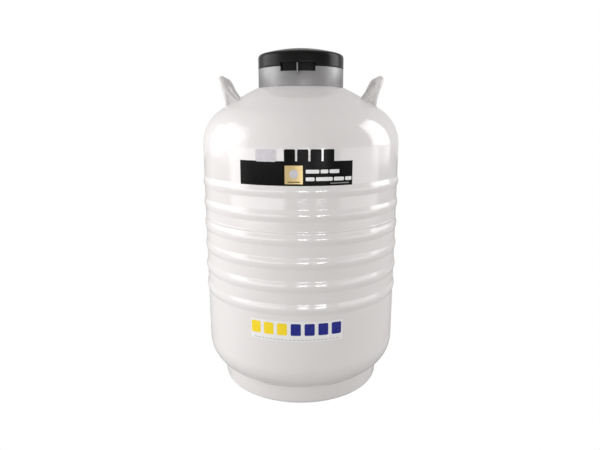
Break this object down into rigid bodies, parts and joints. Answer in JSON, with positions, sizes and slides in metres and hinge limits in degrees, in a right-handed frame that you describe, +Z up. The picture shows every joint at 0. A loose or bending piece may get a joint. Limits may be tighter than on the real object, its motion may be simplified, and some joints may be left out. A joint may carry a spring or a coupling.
{
  "type": "liquid nitrogen dewar",
  "caption": "Ribbed aluminium cryogenic storage vessel with a narrow neck, lift-off insulated lid, lifting handles and hanging sample canisters.",
  "frame": {"origin": "centre of the base ring's foot, on the floor", "axes": "+Z up along the vessel's axis, front with the lock window and labels towards -Y, handles at -X and +X"},
  "size_m": [0.4522, 0.4522, 0.765],
  "materials": {
    "white_coat": "gloss",
    "satin_silver": "satin",
    "black_plastic": "satin",
    "bare_aluminium": "satin",
    "stainless": "satin",
    "neck_laminate": "satin",
    "plug_foam": "matte",
    "foil_blanket": "satin",
    "adsorbent": "matte",
    "copper": "satin",
    "red_plastic": "matte",
    "blue_plastic": "matte",
    "black_film": "satin",
    "white_film": "satin"
  },
  "bodies": {
    "vessel": {"adsorbent_pan": "adsorbent", "base_ring": "white_coat", "canister_base": "bare_aluminium", "getter_capsule": "copper", "handle_left": "white_coat", "handle_right": "white_coat", "index_plate": "bare_aluminium", "inner_vessel_lower": "bare_aluminium", "inner_vessel_upper": "bare_aluminium", "insulation_blanket": "foil_blanket", "label_band": "black_film", "label_strip": "white_film", "lock_lug": "stainless", "neck_collar": "satin_silver", "neck_flange_lower": "bare_aluminium", "neck_flange_upper": "bare_aluminium", "neck_tube": "neck_laminate", "outer_shell_lower": "white_coat", "outer_shell_upper": "white_coat", "support_ring": "neck_laminate", "vacuum_cap": "red_plastic", "vacuum_plug": "stainless", "vacuum_port": "bare_aluminium"},
    "lid": {"lid_cover": "black_plastic", "lid_liner": "black_plastic", "lid_ear": "black_plastic", "plug_plate": "bare_aluminium", "neck_plug": "plug_foam"},
    "canister_1": {"canister_1_cup": "stainless", "canister_1_rod": "stainless", "canister_1_knob": "blue_plastic"},
    "canister_2": {"canister_2_cup": "stainless", "canister_2_rod": "stainless", "canister_2_knob": "blue_plastic"},
    "canister_3": {"canister_3_cup": "stainless", "canister_3_rod": "stainless", "canister_3_knob": "blue_plastic"},
    "canister_4": {"canister_4_cup": "stainless", "canister_4_rod": "stainless", "canister_4_knob": "blue_plastic"},
    "canister_5": {"canister_5_cup": "stainless", "canister_5_rod": "stainless", "canister_5_knob": "blue_plastic"},
    "canister_6": {"canister_6_cup": "stainless", "canister_6_rod": "stainless", "canister_6_knob": "blue_plastic"}
  },
  "joints": [
    {"name": "lid_lift", "type": "slide", "parent": "vessel", "child": "lid", "axis": [0, 0, 1], "range_m": [0, 0.28]},
    {"name": "canister_1_lift", "type": "slide", "parent": "vessel", "child": "canister_1", "axis": [0, 0, 1], "range_m": [0, 0.025]},
    {"name": "canister_2_lift", "type": "slide", "parent": "vessel", "child": "canister_2", "axis": [0, 0, 1], "range_m": [0, 0.025]},
    {"name": "canister_3_lift", "type": "slide", "parent": "vessel", "child": "canister_3", "axis": [0, 0, 1], "range_m": [0, 0.025]},
    {"name": "canister_4_lift", "type": "slide", "parent": "vessel", "child": "canister_4", "axis": [0, 0, 1], "range_m": [0, 0.025]},
    {"name": "canister_5_lift", "type": "slide", "parent": "vessel", "child": "canister_5", "axis": [0, 0, 1], "range_m": [0, 0.025]},
    {"name": "canister_6_lift", "type": "slide", "parent": "vessel", "child": "canister_6", "axis": [0, 0, 1], "range_m": [0, 0.025]}
  ]
}
